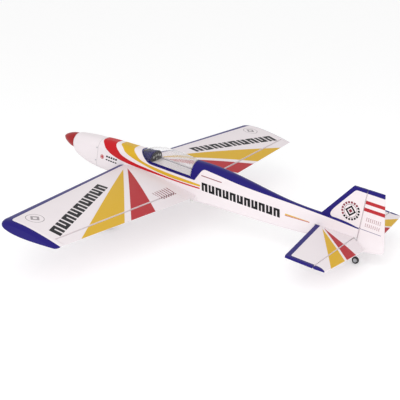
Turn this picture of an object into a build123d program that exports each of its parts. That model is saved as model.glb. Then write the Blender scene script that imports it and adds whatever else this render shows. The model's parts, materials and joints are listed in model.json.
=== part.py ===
from build123d import *
import os
from math import asin, atan2, cos, hypot, pi, radians, sin, sqrt, tan

os.makedirs("parts", exist_ok=True)

# Driving dimensions, in millimetres, in the airframe's own datum:
# x to the right wing, y to the nose, z up, zero at the wing's root leading edge.
HALF_SPAN = 780.0
ROOT_CHORD = 368.0
TIP_CHORD = 242.0
TIP_SWEEP = 92.0
DIHEDRAL = 1.8
WING_DEPTH = 0.15
SKIN = 1.6
WALL = 3.0
TIP_BLOCK = 14.0
TIP_STATIONS = (
    (HALF_SPAN + 1, 1.03, 0.0, 1.2), (HALF_SPAN + 12, 1.04, 3.0, 5.0), (HALF_SPAN + 19, 0.72, 12.0, 8.0),
)

THRUST_Z = 31.0
SPINNER_TIP = 294.0
SPINNER_BASE = 231.0
SPINNER_RADIUS = 31.0
COWL_FRONT = 226.4
FIREWALL = 94.0
SILL_Z = 66.0
COCKPIT_FRONT = -150.0
RIM_TOP = (-94.0, 98.0)
RIM_FOOT = (-140.0, 66.0)
COCKPIT_REAR = -331.0
DECK_FRONT = -52.0
TAIL_POST = -993.0
CRANK_RADIUS = 11.0

AILERON_SHARE = 0.833
SPAR_WEB_SHARE = 0.025
AILERON_IN = 97.0
AILERON_OUT = 764.5
HINGE_GAP = 1.5
BEVEL = 32.0

STAB_Z = 50.0
STAB_HALF = 327.0
ELEVATOR_AXIS = -984.0
RUDDER_AXIS = -995.0
TAIL_DEPTH = 9.0

MAIN_WHEEL = (181.0, -80.0, -156.0)
MAIN_RADIUS = 32.0
TAIL_WHEEL = (0.0, -1005.0, -27.0)
TAIL_RADIUS = 12.5

# The model stands on its three wheels, so its datum is pitched nose up.
REACH = MAIN_WHEEL[1] - TAIL_WHEEL[1]
DROP = TAIL_WHEEL[2] - MAIN_WHEEL[2]
PITCH = asin((MAIN_RADIUS - TAIL_RADIUS) / hypot(REACH, DROP)) + atan2(DROP, REACH)
MIDDLE = 401.6
LIFT = MAIN_RADIUS - MAIN_WHEEL[1] * sin(PITCH) - MAIN_WHEEL[2] * cos(PITCH)
FORWARD = Vector(0, cos(PITCH), sin(PITCH))
UP = Vector(0, -sin(PITCH), cos(PITCH))
RIGHT = Vector(1, 0, 0)


def place(x, y, z):
    """Standing position of a point given in the airframe datum."""
    return Vector(0, MIDDLE, LIFT) + RIGHT * x + FORWARD * y + UP * z


def across(y, x=0.0, z=0.0):
    """Plane across the fuselage: local axes are right and up, and it faces aft."""
    return Plane(origin=place(x, y, z), x_dir=RIGHT, z_dir=-FORWARD)


def flat(z, x=0.0, y=0.0):
    """Level plane of the datum: local axes are right and forward, and it faces up."""
    return Plane(origin=place(x, y, z), x_dir=RIGHT, z_dir=UP)


def upright(x, y=0.0, z=0.0):
    """Fore-and-aft plane: local axes are forward and up, and it faces right."""
    return Plane(origin=place(x, y, z), x_dir=FORWARD, z_dir=RIGHT)


def plane_along(start, end, up=None):
    """Plane at start that faces the point end, both in the datum."""
    direction = place(*end) - place(*start)
    side = direction.cross(UP if up is None else up)
    return Plane(origin=place(*start), x_dir=side, z_dir=direction)


def gap(start, end):
    """Distance between two points of the datum."""
    return (place(*end) - place(*start)).length


def rod(start, end, radius, mode=Mode.ADD):
    """Round bar between two points of the datum, added to the open part."""
    with BuildSketch(plane_along(start, end)) as end_face:
        Circle(radius)
    extrude(end_face.sketch, amount=gap(start, end), mode=mode)


def block(x, y, z, mode=Mode.ADD):
    """Box between the limits (low, high) of x, y and z in the datum."""
    with BuildSketch(flat(z[0])) as footprint:
        with Locations(((x[0] + x[1]) / 2, (y[0] + y[1]) / 2)):
            Rectangle(x[1] - x[0], y[1] - y[0])
    extrude(footprint.sketch, amount=z[1] - z[0], mode=mode)


# Wing geometry: a straight taper from the root section to the tip section.
def chord_at(x):
    return ROOT_CHORD + (TIP_CHORD - ROOT_CHORD) * abs(x) / HALF_SPAN


def lead_at(x):
    return -TIP_SWEEP * abs(x) / HALF_SPAN


def rise_at(x):
    return abs(x) * tan(radians(DIHEDRAL))


def half_depth(x, share):
    """Half thickness of the symmetrical section at a share of its chord."""
    root = 0.2969 * sqrt(share)
    body = -0.1260 * share - 0.3516 * share**2 + 0.2843 * share**3 - 0.1015 * share**4
    return 5 * WING_DEPTH * chord_at(x) * (root + body)


def wing_y(x, share):
    return lead_at(x) - chord_at(x) * share


def hinge_point(x):
    """Aileron hinge axis at a span station, in the datum."""
    return (x, wing_y(x, AILERON_SHARE) - HINGE_GAP, rise_at(x))


def wing_section(x, fullness=1.0, grow=0.0, narrow=0.0, drop=0.0):
    """Closed section of the wing across the span at x, which may be drawn in and lowered."""
    steps = 12
    shares = [0.5 - 0.5 * cos(pi * step / steps) for step in range(steps + 1)]
    middle = wing_y(x, 0.5)
    squeeze = 1 - 2 * narrow / chord_at(x)
    above = []
    for share in shares[1:]:
        depth = half_depth(x, share) * fullness + grow
        above.append((middle + (wing_y(x, share) - middle) * squeeze, depth))
    nose = (middle + (wing_y(x, 0) - middle) * squeeze + grow, 0)
    with BuildSketch(upright(x, z=rise_at(x) - drop)) as section:
        with BuildLine():
            below = [(y, -depth) for y, depth in above]
            curve = Spline(*reversed(above), nose, *below)
            Line(curve @ 1, curve @ 0)
        make_face()
    return section.sketch


def wing_core(x, clearance=0.0):
    """Section of the space inside the wing skin, ahead of the rear spar."""
    first = 0.02 + clearance / 100
    last = AILERON_SHARE - SPAR_WEB_SHARE - clearance / 100
    shares = [first + (last - first) * step / 8 for step in range(9)]
    above = []
    for share in shares:
        depth = half_depth(x, share) - SKIN - clearance
        above.append((wing_y(x, share), depth))
    with BuildSketch(upright(x, z=rise_at(x))) as section:
        with BuildLine():
            top = Spline(*above)
            bottom = Spline(*[(y, -depth) for y, depth in above])
            Line(top @ 0, bottom @ 0)
            Line(top @ 1, bottom @ 1)
        make_face()
    return section.sketch


# Fuselage sections: station y, half width, top, bottom, top radius, bottom radius.
COWL_SECTIONS = (
    (COWL_FRONT, 31.4, 62.4, -0.4, 30.8, 30.8),
    (218.0, 35.8, 67.0, -10.0, 34.2, 33.2),
    (200.0, 39.2, 71.0, -20.0, 36.0, 33.5),
    (165.0, 41.5, 75.7, -29.5, 35.0, 31.0),
    (122.0, 43.0, 80.3, -35.0, 34.0, 26.5),
    (FIREWALL, 43.3, 83.0, -35.8, 34.0, 23.8),
)
HULL_SECTIONS = (
    (FIREWALL, 43.3, 83.0, -35.8, 34.0, 23.8),
    (20.0, 44.0, 89.5, -35.0, 34.0, 18.0),
    (-110.0, 43.5, 99.0, -33.5, 36.0, 12.0),
    (COCKPIT_REAR, 39.0, 124.5, -22.0, 37.0, 10.0),
    (-600.0, 27.0, 111.5, -9.0, 25.5, 8.0),
    (-850.0, 14.5, 98.5, 10.0, 13.0, 5.0),
    (TAIL_POST, 7.0, 91.0, 21.0, 5.5, 2.5),
)
CANOPY_SECTIONS = (
    (-84.0, 43.5, 91.0, 34.0),
    (-104.0, 43.4, 101.0, 36.0),
    (-132.0, 42.7, 114.5, 37.0),
    (-185.0, 41.2, 127.0, 38.0),
    (-262.0, 39.9, 128.8, 37.5),
    (COCKPIT_REAR + 1, 38.8, 124.3, 36.8),
)
HOOD_SECTIONS = ((-90.0, 40.4, 90.5, 33.0), (-147.0, 38.6, 104.0, 32.0))
PANEL_Y = -147.4
DIALS = ((-21, 84, 6), (-7, 88, 6), (7, 88, 6), (21, 84, 6), (0, 73.5, 5))


def hull_section(station, inset=0.0):
    """Rounded box section across the fuselage."""
    y, half, top, bottom, crown, bilge = station
    with BuildSketch(across(y)) as outline:
        with Locations((0, (top + bottom) / 2)):
            Rectangle(2 * (half - inset), top - bottom - 2 * inset)
        fillet(outline.vertices().group_by(Axis.Y)[-1], crown - inset)
        fillet(outline.vertices().group_by(Axis.Y)[0], max(bilge - inset, 0.8))
    return outline.sketch


def hull_loft(sections, inset=0.0, mode=Mode.ADD):
    loft([hull_section(station, inset) for station in sections], mode=mode)


def canopy_section(station, inset=0.0, foot=0.0):
    y, half, top, crown = station
    base = SILL_Z + 0.4 - foot
    with BuildSketch(across(y)) as arch:
        with Locations((0, (top - inset + base) / 2)):
            Rectangle(2 * (half - inset), top - inset - base)
        fillet(arch.vertices().group_by(Axis.Y)[-1], min(crown, top - base) - inset - 0.6)
    return arch.sketch


def behind_rim(gap_aft, mode=Mode.INTERSECT):
    """Space aft of the slanted front rim of the cockpit, moved aft by a gap."""
    slope = (RIM_TOP[0] - RIM_FOOT[0]) / (RIM_TOP[1] - RIM_FOOT[1])
    low, high = 40.0, 170.0
    front = [(RIM_TOP[0] + slope * (z - RIM_TOP[1]) - gap_aft, z) for z in (low, high)]
    with BuildSketch(upright(-60)) as side_view:
        with BuildLine():
            Polyline(*front, (COCKPIT_REAR - 20, high), (COCKPIT_REAR - 20, low), close=True)
        make_face()
    extrude(side_view.sketch, amount=120, mode=mode)


def make_hull(inset=0.0, tail=TAIL_POST):
    with BuildPart() as solid:
        hull_loft(HULL_SECTIONS, inset)
        block((-60, 60), (tail, FIREWALL), (-60, 160), mode=Mode.INTERSECT)
    return solid.part


HULL = make_hull()
HULL_CORE = make_hull(WALL, tail=TAIL_POST + 20)
HULL_CLEAR = make_hull(WALL + 0.3, tail=TAIL_POST + 20)


def wing_tunnel():
    """Space that the wing's centre section and belly pan take from the hull."""
    with BuildPart() as tunnel:
        loft([wing_section(x, grow=0.4) for x in (-60, 0)])
        loft([wing_section(x, grow=0.4) for x in (0, 60)])
        block((-60, 60), (-ROOT_CHORD - 4, 4), (-70, 0))
    return tunnel.part


TUNNEL = wing_tunnel()


# Control rods: straight wires from a servo arm to a horn, open at both pivots.
ELEVATOR_ROD = ((24.5, -135.0, 60.2), (32.0, -978.0, 25.0))
RUDDER_ROD = ((-0.5, -134.0, 60.2), (24.0, -989.0, 32.0))
THROTTLE_ROD = ((-13.0, -96.0, 60.2), (-14.5, 195.0, 44.0))
ROD_RADIUS = 1.2
SERVO_PLACES = ((12.5, -150.0), (-12.5, -150.0), (-26.0, -100.0))
SERVO_ARM_Z = 56.8
AILERON_SERVO_Y = -242.0
WING_BOLTS = ((-28.0, -345.0), (28.0, -345.0))
TORQUE_ARM_X = 16.0
HINGE_SPOTS = (150.0, 350.0, 550.0, 720.0)
ELEVATOR_SPOTS = (60.0, 170.0, 280.0)
RUDDER_SPOTS = (36.0, 120.0, 190.0)
PIN_RADIUS = 0.8
CYLINDER_Y = 172.0
CYLINDER_RADIUS = 19.0
MUFFLER = (22.0, 143.0, -5.0)
OUTLET_Z = -44.0
OUTLET_LENGTH = 24.0
SCREW_Y = FIREWALL + 6
COWL_SCREWS = ((-1, 50.0), (-1, -2.0), (1, 50.0), (1, -2.0))
FORMER_STATIONS = (-334.0, -500.0, -650.0, -800.0)


def save(piece, label):
    piece.part.label = label
    export_step(piece.part, f"parts/{label}.step")


def cut_holes_for_rods():
    """Slots where the two tail rods leave the right side of the fuselage."""
    for start, end in (ELEVATOR_ROD, RUDDER_ROD):
        rod(start, end, ROD_RADIUS + 1.6, mode=Mode.SUBTRACT)


def build_fuselage():
    """Balsa trough below the sill line, open for the wing and the stabilizer."""
    with BuildPart() as fuselage_shell:
        add(HULL)
        add(HULL_CORE, mode=Mode.SUBTRACT)
        block((-60, 60), (TAIL_POST - 5, FIREWALL + 5), (SILL_Z, 200), mode=Mode.SUBTRACT)
        add(TUNNEL, mode=Mode.SUBTRACT)
        low, high = STAB_Z - TAIL_DEPTH / 2 - 0.3, STAB_Z + TAIL_DEPTH / 2 + 0.3
        block((-60, 60), (TAIL_POST - 5, -838), (low, high), mode=Mode.SUBTRACT)
        cut_holes_for_rods()
        z = RUDDER_SPOTS[0]
        block((-0.8, 0.8), (RUDDER_AXIS, RUDDER_AXIS + 11), (z - 6.2, z + 6.2), mode=Mode.SUBTRACT)
    save(fuselage_shell, "fuselage_shell")


def build_decks():
    """Sheeted nose deck and turtledeck above the sill line."""
    with BuildPart() as nose_deck:
        add(HULL)
        add(HULL_CORE, mode=Mode.SUBTRACT)
        block((-60, 60), (COCKPIT_FRONT, FIREWALL), (SILL_Z + 0.1, 200), mode=Mode.INTERSECT)
        behind_rim(-0.1, mode=Mode.SUBTRACT)
    save(nose_deck, "nose_deck")
    with BuildPart() as hollow:
        add(HULL_CORE)
        block((-60, 60), (TAIL_POST, COCKPIT_REAR - 2.5), (-60, 200), mode=Mode.INTERSECT)
    with BuildPart() as turtledeck:
        add(HULL)
        add(hollow.part, mode=Mode.SUBTRACT)
        block((-60, 60), (TAIL_POST, COCKPIT_REAR), (SILL_Z + 0.1, 200), mode=Mode.INTERSECT)
    save(turtledeck, "turtledeck")


def former(y, depth, top, window_x, window_z):
    """Plywood bulkhead cut to the inside of the fuselage, with one window."""
    with BuildPart() as bulkhead:
        add(HULL_CLEAR)
        block((-60, 60), (y, y + depth), (-60, top), mode=Mode.INTERSECT)
        block(window_x, (y - 1, y + depth + 1), window_z, mode=Mode.SUBTRACT)
        add(TUNNEL, mode=Mode.SUBTRACT)
        cut_holes_for_rods()
        rod(*THROTTLE_ROD, ROD_RADIUS + 0.8, mode=Mode.SUBTRACT)
    return bulkhead.part


def build_formers():
    """Firewall, bulkheads, cowl blocks, wing bolt plate and servo tray."""
    pieces = [former(FIREWALL - 6.4, 6, 90, (-9, 9), (-20, -12))]
    pieces.append(former(5, 3, 90, (-32, 32), (-5, 70)))
    pieces.append(former(-58, 3, 61, (-30, 30), (30, 58)))
    for y in FORMER_STATIONS:
        shrink = 33 + (y + 334) * 0.052
        lowest = 14 if y > -400 else -4 + (-500 - y) * 0.08
        pieces.append(former(y, 3, 61, (-shrink, shrink), (lowest, 58)))
    with BuildPart() as bolt_plate:
        block((-34, 34), (-356, -336), (7.5, 13))
        for x, y in WING_BOLTS:
            rod((x, y, 0), (x, y, 20), 3.05, mode=Mode.SUBTRACT)
    pieces.append(bolt_plate.part)
    with BuildPart() as servo_tray:
        block((-38.5, 38.5), (-182, -68), (44, 46.5))
        for x, y in SERVO_PLACES:
            block((x - 10.3, x + 10.3), (y - 20.5, y + 20.5), (40, 50), mode=Mode.SUBTRACT)
    pieces.append(servo_tray.part)
    with BuildPart() as fuselage_formers:
        add(pieces)
        for side, z in COWL_SCREWS:
            inner, outer = sorted((side * 28, side * 37))
            block((inner, outer), (FIREWALL - 0.4, FIREWALL + 11), (z - 5, z + 5))
            rod((side * 25, SCREW_Y, z), (side * 50, SCREW_Y, z), 1.5, mode=Mode.SUBTRACT)
    save(fuselage_formers, "fuselage_formers")


def build_belly_pan():
    """Fairing under the wing that carries the fuselage's bottom line through."""
    with BuildPart() as belly_pan:
        add(HULL)
        block((-60, 60), (-ROOT_CHORD - 3.4, 3.4), (-60, 0), mode=Mode.INTERSECT)
        loft([wing_section(x, grow=0.25) for x in (-60, 0)], mode=Mode.SUBTRACT)
        loft([wing_section(x, grow=0.25) for x in (0, 60)], mode=Mode.SUBTRACT)
        for x, y in WING_BOLTS:
            rod((x, y, -60), (x, y, 30), 3.3, mode=Mode.SUBTRACT)
    save(belly_pan, "belly_pan")


def cut_aileron_bay(side):
    """Cut out the part of the trailing edge that the aileron fills."""
    inner, outer = side * (AILERON_IN - 1), side * (HALF_SPAN + 5)
    corners = [(inner, wing_y(inner, AILERON_SHARE)), (outer, wing_y(outer, AILERON_SHARE))]
    corners += [(outer, -520), (inner, -520)]
    with BuildSketch(flat(-60)) as bay:
        with BuildLine():
            Polyline(*corners, close=True)
        make_face()
    extrude(bay.sketch, amount=150, mode=Mode.SUBTRACT)


def cut_wing_fittings(side):
    """Holes in the centre section for bolts, servo, rods and undercarriage."""
    for x, y in WING_BOLTS:
        rod((x, y, -30), (x, y, 30), 3.3, mode=Mode.SUBTRACT)
    y = AILERON_SERVO_Y
    block((-10.4, 10.4), (y - 20.5, y + 20.5), (-8, 40), mode=Mode.SUBTRACT)
    start, end = hinge_point(side * 9), hinge_point(side * AILERON_IN)
    rod(start, end, 1.8, mode=Mode.SUBTRACT)
    x, y, z = hinge_point(side * TORQUE_ARM_X)
    block((x - 2.6, x + 2.6), (y - 9, y + 9), (z, z + 40), mode=Mode.SUBTRACT)
    low, high = sorted((side * 89.8, side * 136.2))
    block((low, high), (-94.2, -75.8), (-40, -11.8), mode=Mode.SUBTRACT)
    for spot in HINGE_SPOTS:
        x, y, z = hinge_point(side * spot)
        block((x - 6.2, x + 6.2), (y, y + 14), (z - 0.8, z + 0.8), mode=Mode.SUBTRACT)


def build_wing_skin(side, label):
    """Sheeted and film-covered wing panel, hollow ahead of its rear spar."""
    end = side * (HALF_SPAN - TIP_BLOCK)
    with BuildPart() as wing_skin:
        loft([wing_section(0), wing_section(end)])
        loft([wing_core(side * 3), wing_core(end - side * 3)], mode=Mode.SUBTRACT)
        cut_aileron_bay(side)
        cut_wing_fittings(side)
    save(wing_skin, label)


def spar_section(x, grow=0.0):
    depth = half_depth(x, 0.3) - SKIN - 0.5
    with BuildSketch(upright(x, y=wing_y(x, 0.3), z=rise_at(x))) as web:
        Rectangle(6 + 2 * grow, 2 * (depth + grow))
    return web.sketch


def build_wing_frame():
    """Ribs with lightening holes, box spars and grooved gear blocks."""
    ribs = []
    for side in (-1, 1):
        for station in (60, 160, 260, 360, 460, 560, 660, 745):
            x = side * station
            with BuildPart() as rib:
                extrude(wing_core(x, clearance=0.3), amount=2.5 * side)
                loft([spar_section(side * 3.4, 0.3), spar_section(side * 765, 0.3)], mode=Mode.SUBTRACT)
                for share, radius in ((0.14, 0.036), (0.45, 0.04), (0.62, 0.028)):
                    y, z = wing_y(x, share), rise_at(x)
                    size = radius * chord_at(x)
                    rod((x - 5, y, z), (x + 5, y, z), size, mode=Mode.SUBTRACT)
            ribs.append(rib.part)
        with BuildPart() as gear_block:
            low, high = sorted((side * 90, side * 136))
            block((low, high), (-94, -76), (-23.5, -12))
            rod((side * 88, -85, -22.75), (side * 138, -85, -20.83), 2.8, mode=Mode.SUBTRACT)
            for x in (side * 101, side * 125):
                for y in (-91, -79):
                    rod((x, y, -30), (x, y, -14), 1.25, mode=Mode.SUBTRACT)
        ribs.append(gear_block.part)
    with BuildPart() as wing_ribs:
        add(ribs)
    save(wing_ribs, "wing_ribs")
    with BuildPart() as wing_spars:
        for side in (-1, 1):
            loft([spar_section(side * 3.6), spar_section(side * 761)])
    save(wing_spars, "wing_spars")


def build_wing_tips():
    """Solid rounded blocks that close the ends of both panels."""
    with BuildPart() as wing_tips:
        for side in (-1, 1):
            sections = [wing_section(side * (HALF_SPAN - TIP_BLOCK + 0.3))]
            for x, fullness, narrow, drop in TIP_STATIONS:
                sections.append(wing_section(side * x, fullness, narrow=narrow, drop=drop))
            loft(sections)
    save(wing_tips, "wing_tips")


def build_wing_bolts():
    """Nylon bolts with cheese heads under the belly pan."""
    with BuildPart() as wing_bolts:
        for x, y in WING_BOLTS:
            rod((x, y, -24), (x, y, 17), 3.0)
            rod((x, y, -27.5), (x, y, -22), 6.0)
            block((x - 5, x + 5), (y - 0.6, y + 0.6), (-28, -26.3), mode=Mode.SUBTRACT)
    save(wing_bolts, "wing_bolts")


def aileron_section(x):
    """Wedge with a double bevel whose point lies on the hinge axis."""
    apex = hinge_point(x)[1]
    shoulder = half_depth(x, AILERON_SHARE + SPAR_WEB_SHARE)
    knee = apex - shoulder * tan(radians(BEVEL))
    rear = wing_y(x, 1.0)
    edge = 0.8
    with BuildSketch(upright(x, z=rise_at(x))) as section:
        with BuildLine():
            Polyline(
                (apex, 0), (knee, shoulder), (rear, edge),
                (rear, -edge), (knee, -shoulder), close=True,
            )
        make_face()
    return section.sketch


def build_aileron(side, label):
    inner, outer = side * AILERON_IN, side * AILERON_OUT
    with BuildPart() as aileron:
        loft([aileron_section(inner), aileron_section(outer)], ruled=True)
        rod(hinge_point(inner), hinge_point(inner + side * 43), 1.6, mode=Mode.SUBTRACT)
        for spot in HINGE_SPOTS:
            x = side * spot
            rod(hinge_point(x - 4), hinge_point(x + 4), 2.6, mode=Mode.SUBTRACT)
            rod(hinge_point(x - 9), hinge_point(x + 9), PIN_RADIUS + 0.06, mode=Mode.SUBTRACT)
    save(aileron, label)


def build_torque_rod(side, label):
    """Wire that drives an aileron from an arm inside the fuselage."""
    elbow = hinge_point(side * TORQUE_ARM_X)
    with BuildPart() as torque_rod:
        rod(elbow, hinge_point(side * (AILERON_IN + 42)), 1.5)
        rod(elbow, (elbow[0], elbow[1], elbow[2] + 34), 1.5)
        with Locations(place(*elbow)):
            Sphere(1.5)
    save(torque_rod, label)


def build_hinges():
    """Fixed hinge leaves, each with a knuckle and a pin on the hinge axis."""
    with BuildPart() as control_hinges:
        for side in (-1, 1):
            for spot in HINGE_SPOTS:
                x, y, z = hinge_point(side * spot)
                block((x - 6, x + 6), (y + 2, y + 13), (z - 0.6, z + 0.6))
                block((x - 2.5, x + 2.5), (y, y + 3), (z - 0.6, z + 0.6))
                rod(hinge_point(x - 3), hinge_point(x + 3), 1.6)
                rod(hinge_point(x - 8), hinge_point(x + 8), PIN_RADIUS)
            for spot in ELEVATOR_SPOTS:
                x = side * spot
                low, high = STAB_Z - 0.6, STAB_Z + 0.6
                block((x - 6, x + 6), (ELEVATOR_AXIS + 2.6, ELEVATOR_AXIS + 13), (low, high))
                block((x - 2.5, x + 2.5), (ELEVATOR_AXIS, ELEVATOR_AXIS + 3), (low, high))
                rod((x - 3, ELEVATOR_AXIS, STAB_Z), (x + 3, ELEVATOR_AXIS, STAB_Z), 1.6)
                rod((x - 8, ELEVATOR_AXIS, STAB_Z), (x + 8, ELEVATOR_AXIS, STAB_Z), PIN_RADIUS)
        for z in RUDDER_SPOTS:
            block((-0.6, 0.6), (RUDDER_AXIS + 2.6, RUDDER_AXIS + 10), (z - 6, z + 6))
            block((-0.6, 0.6), (RUDDER_AXIS, RUDDER_AXIS + 3), (z - 2.5, z + 2.5))
            rod((0, RUDDER_AXIS, z - 3), (0, RUDDER_AXIS, z + 3), 1.6)
            rod((0, RUDDER_AXIS, z - 8), (0, RUDDER_AXIS, z + 8), PIN_RADIUS)
    save(control_hinges, "control_hinges")


STAB_OUTLINE = (
    (0, -840), (STAB_HALF, -883), (STAB_HALF, ELEVATOR_AXIS + 1.5),
    (-STAB_HALF, ELEVATOR_AXIS + 1.5), (-STAB_HALF, -883),
)
FIN_OUTLINE = ((-846, 96), (-944, 232), (-993.4, 233.6), (-993.4, 70), (-846, 70))
RUDDER_OUTLINE = (
    (-995, 8.5), (-1053, 19), (-1084, 25), (-1091, 28.5), (-1095, 35), (-1094.6, 46.5),
    (-1056, 235.6), (-995, 233.6),
)


def build_stabilizer():
    with BuildPart() as stabilizer:
        with BuildSketch(flat(STAB_Z - TAIL_DEPTH / 2)):
            with BuildLine():
                Polyline(*STAB_OUTLINE, close=True)
            make_face()
        extrude(amount=TAIL_DEPTH)
        for side in (-1, 1):
            for spot in ELEVATOR_SPOTS:
                x = side * spot
                slot = (STAB_Z - 0.8, STAB_Z + 0.8)
                block((x - 6.2, x + 6.2), (ELEVATOR_AXIS, ELEVATOR_AXIS + 14), slot, mode=Mode.SUBTRACT)
        notch = (STAB_Z - 2.4, STAB_Z + 2.4)
        block((-14, 14), (ELEVATOR_AXIS - 2, ELEVATOR_AXIS + 2.4), notch, mode=Mode.SUBTRACT)
    save(stabilizer, "stabilizer")


def build_fin():
    with BuildPart() as fin:
        with BuildSketch(upright(-TAIL_DEPTH / 2)):
            with BuildLine():
                Polyline(*FIN_OUTLINE, close=True)
            make_face()
        extrude(amount=TAIL_DEPTH)
        add(HULL, mode=Mode.SUBTRACT)
        for z in RUDDER_SPOTS[1:]:
            block((-0.8, 0.8), (RUDDER_AXIS, RUDDER_AXIS + 11), (z - 6.2, z + 6.2), mode=Mode.SUBTRACT)
    save(fin, "fin")


def elevator_half(side):
    """Tapered surface with a double bevel, cut away to clear the rudder."""
    half = TAIL_DEPTH / 2
    knee = ELEVATOR_AXIS - half * tan(radians(BEVEL))
    corners = ((10, ELEVATOR_AXIS), (STAB_HALF, ELEVATOR_AXIS), (STAB_HALF, -1027), (66, -1050.5))
    with BuildPart() as surface:
        with BuildSketch(flat(STAB_Z - half)):
            with BuildLine():
                Polyline(*[(side * x, y) for x, y in corners], close=True)
            make_face()
        extrude(amount=2 * half)
        with BuildSketch(upright(-STAB_HALF - 1, z=STAB_Z)) as wedge:
            with BuildLine():
                Polyline(
                    (ELEVATOR_AXIS, 0), (knee, half), (-1056, 1.2),
                    (-1056, -1.2), (knee, -half), close=True,
                )
            make_face()
        extrude(wedge.sketch, amount=2 * STAB_HALF + 2, mode=Mode.INTERSECT)
        y, z = ELEVATOR_AXIS, STAB_Z
        rod((side * 5, y, z), (side * 38, y, z), 1.55, mode=Mode.SUBTRACT)
        for spot in ELEVATOR_SPOTS:
            x = side * spot
            rod((x - 4, y, z), (x + 4, y, z), 2.6, mode=Mode.SUBTRACT)
            rod((x - 9, y, z), (x + 9, y, z), PIN_RADIUS + 0.06, mode=Mode.SUBTRACT)
    return surface.part


def build_elevators():
    """Both halves, and the joiner wire with its horn that turns them together."""
    halves = [elevator_half(side) for side in (-1, 1)]
    with BuildPart() as elevator_halves:
        add(halves)
    save(elevator_halves, "elevator_halves")
    y, z = ELEVATOR_AXIS, STAB_Z
    horn_x = ELEVATOR_ROD[1][0]
    with BuildPart() as elevator_joiner:
        rod((-37, y, z), (37, y, z), 1.5)
        with BuildSketch(upright(horn_x - 0.8)) as plate:
            with BuildLine():
                Polyline(
                    (y - 3.2, 45.2), (y - 19, 45.9), (y - 19, 43.6), (y - 4, 21.5),
                    (y + 2, 21.5), (y + 2, 27), (y - 2, 40), close=True,
                )
            make_face()
        extrude(plate.sketch, amount=1.6)
    save(elevator_joiner, "elevator_joiner")


def build_rudder():
    half = TAIL_DEPTH / 2
    knee = RUDDER_AXIS - half * tan(radians(BEVEL))
    with BuildPart() as rudder:
        with BuildSketch(upright(-half)):
            with BuildLine():
                Polyline(*RUDDER_OUTLINE, close=True)
            make_face()
        extrude(amount=2 * half)
        with BuildSketch(flat(0)) as wedge:
            with BuildLine():
                Polyline(
                    (0, RUDDER_AXIS), (half, knee), (1.3, -1100),
                    (-1.3, -1100), (-half, knee), close=True,
                )
            make_face()
        extrude(wedge.sketch, amount=240, mode=Mode.INTERSECT)
        for z in RUDDER_SPOTS:
            rod((0, RUDDER_AXIS, z - 4), (0, RUDDER_AXIS, z + 4), 2.6, mode=Mode.SUBTRACT)
            low, high = (0, RUDDER_AXIS, z - 9), (0, RUDDER_AXIS, z + 9)
            rod(low, high, PIN_RADIUS + 0.06, mode=Mode.SUBTRACT)
        rod((0, RUDDER_AXIS, 0), (0, RUDDER_AXIS, 24), 1.3, mode=Mode.SUBTRACT)
        rod((0, RUDDER_AXIS, 24), (0, RUDDER_AXIS - 26, 24), 1.3, mode=Mode.SUBTRACT)
    save(rudder, "rudder")
    horn_z = RUDDER_ROD[1][2]
    with BuildPart() as rudder_horn:
        with BuildSketch(flat(horn_z - 0.8)) as plate:
            with BuildLine():
                Polyline(
                    (4.6, -999), (4.3, -1017), (6, -1017), (27, -998), (27, -992.5),
                    (21, -992.5), (8, -998), close=True,
                )
            make_face()
        extrude(plate.sketch, amount=1.6)
        with BuildSketch(upright(4.6)) as base:
            with Locations((-1009, horn_z)):
                Rectangle(18, 8)
        extrude(base.sketch, amount=1.6)
    save(rudder_horn, "rudder_horn")


def build_tail_gear():
    """Bracket with its bearing, steerable wire leg and small wheel."""
    axis = RUDDER_AXIS
    with BuildPart() as tail_bracket:
        block((-6, 6), (-988, -950), (15.5, 30))
        add(HULL, mode=Mode.SUBTRACT)
        block((-6, 6), (-988, -950), (30, 60), mode=Mode.SUBTRACT)
        block((-1.5, 1.5), (axis, -984), (-1, 6.5))
        block((-1.5, 1.5), (-986, -968), (-1, 16))
        rod((0, axis, -2), (0, axis, 6.5), 3.2)
        rod((0, axis, -3), (0, axis, 8), 1.27, mode=Mode.SUBTRACT)
    save(tail_bracket, "tail_bracket")
    x, y, z = TAIL_WHEEL
    path = (
        (0, axis - 24, 24), (0, axis, 24), (0, axis, -8), (8, y + 3, -16),
        (8, y, z), (-6.5, y, z),
    )
    with BuildPart() as tail_strut:
        for start, end in zip(path, path[1:]):
            rod(start, end, 1.2)
        for corner in path[1:-1]:
            with Locations(place(*corner)):
                Sphere(1.2)
    save(tail_strut, "tail_strut")
    with BuildPart() as tail_hub:
        with BuildSketch(upright(-4.5)):
            with Locations((y, z)):
                Circle(7)
                Circle(1.27, mode=Mode.SUBTRACT)
        extrude(amount=9)
    save(tail_hub, "tail_hub")
    build_tyre("tail_tyre", TAIL_WHEEL, TAIL_RADIUS, 7.05, 4.0)


def build_tyre(label, centre, radius, bore, half_width):
    """Round-shouldered rubber tyre about an axle along x."""
    x, y, z = centre
    with BuildPart() as tyre:
        with BuildSketch(across(y, x=x, z=z)):
            with Locations((0, (radius + bore) / 2)):
                RectangleRounded(2 * half_width, radius - bore, min(half_width, radius - bore) * 0.45)
        revolve(axis=Axis(place(*centre), RIGHT))
    save(tyre, label)


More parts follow.
